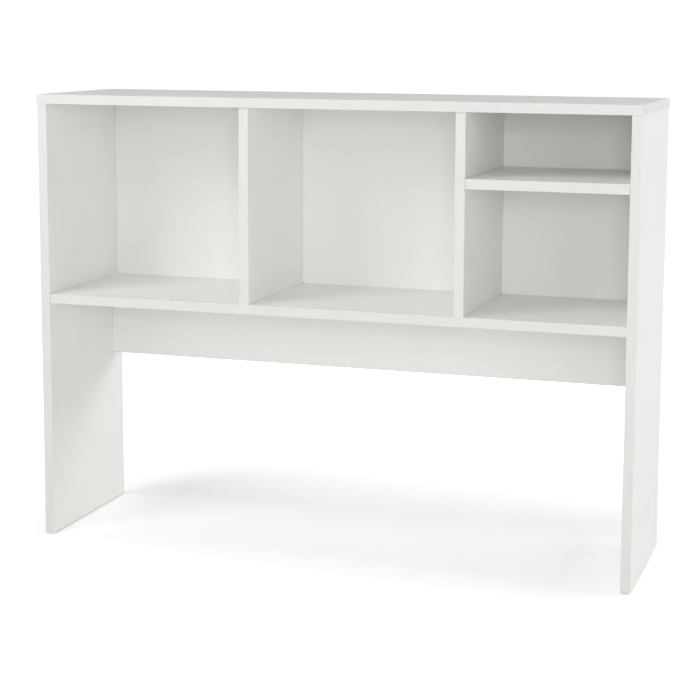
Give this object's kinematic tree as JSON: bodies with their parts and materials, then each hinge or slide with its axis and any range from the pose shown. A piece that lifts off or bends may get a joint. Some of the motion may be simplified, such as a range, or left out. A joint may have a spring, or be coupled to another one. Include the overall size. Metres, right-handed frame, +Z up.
{
  "type": "desk hutch",
  "caption": "White open desk hutch: side panels carry a top and a long shelf with open bays, one split by a loose short shelf, over a clear space with a rear rail.",
  "frame": {"origin": "on the surface that the glides rest on, under the middle of the hutch", "axes": "+X to the right as seen from the front, along the width; +Y to the back; +Z up"},
  "size_m": [1.01, 0.278, 0.7558],
  "materials": {
    "white_board": "white melamine-faced particleboard, satin",
    "white_edge": "white edge band, satin",
    "white_hardboard": "white-lacquered hardboard, smooth satin face",
    "beech": "plain turned beech",
    "cap_plastic": "moulded white plastic",
    "glide_plastic": "moulded pale grey plastic",
    "zinc": "bright die-cast zinc",
    "steel": "zinc-plated steel"
  },
  "bodies": {
    "carcass": {"top_panel": "white_board", "left_side": "white_board", "right_side": "white_board", "lower_shelf": "white_board", "left_divider": "white_board", "right_divider": "white_board", "rear_rail": "white_board", "top_front_band": "white_edge", "top_rear_band": "white_edge", "top_left_band": "white_edge", "top_right_band": "white_edge", "left_side_front_band": "white_edge", "left_side_rear_band": "white_edge", "left_side_bottom_band": "white_edge", "right_side_front_band": "white_edge", "right_side_rear_band": "white_edge", "right_side_bottom_band": "white_edge", "lower_shelf_band": "white_edge", "left_divider_band": "white_edge", "right_divider_band": "white_edge", "rear_rail_band": "white_edge", "back_panel": "white_hardboard", "top_screws": "steel", "divider_screws": "steel", "top_screw_caps": "cap_plastic", "top_dowels": "beech", "divider_dowels": "beech", "rail_dowels": "beech", "shelf_dowels": "beech", "shelf_cams": "zinc", "rail_cams": "zinc", "shelf_cam_bolts": "steel", "rail_cam_bolts": "steel", "back_panel_screws": "steel", "shelf_pins": "steel", "glides": "glide_plastic"},
    "loose_shelf": {"short_shelf": "white_board", "short_shelf_band": "white_edge"}
  },
  "joints": [
    {"name": "short_shelf_slide", "type": "slide", "parent": "carcass", "child": "loose_shelf", "axis": [0, -1, 0], "range_m": [0, 0.259]}
  ]
}
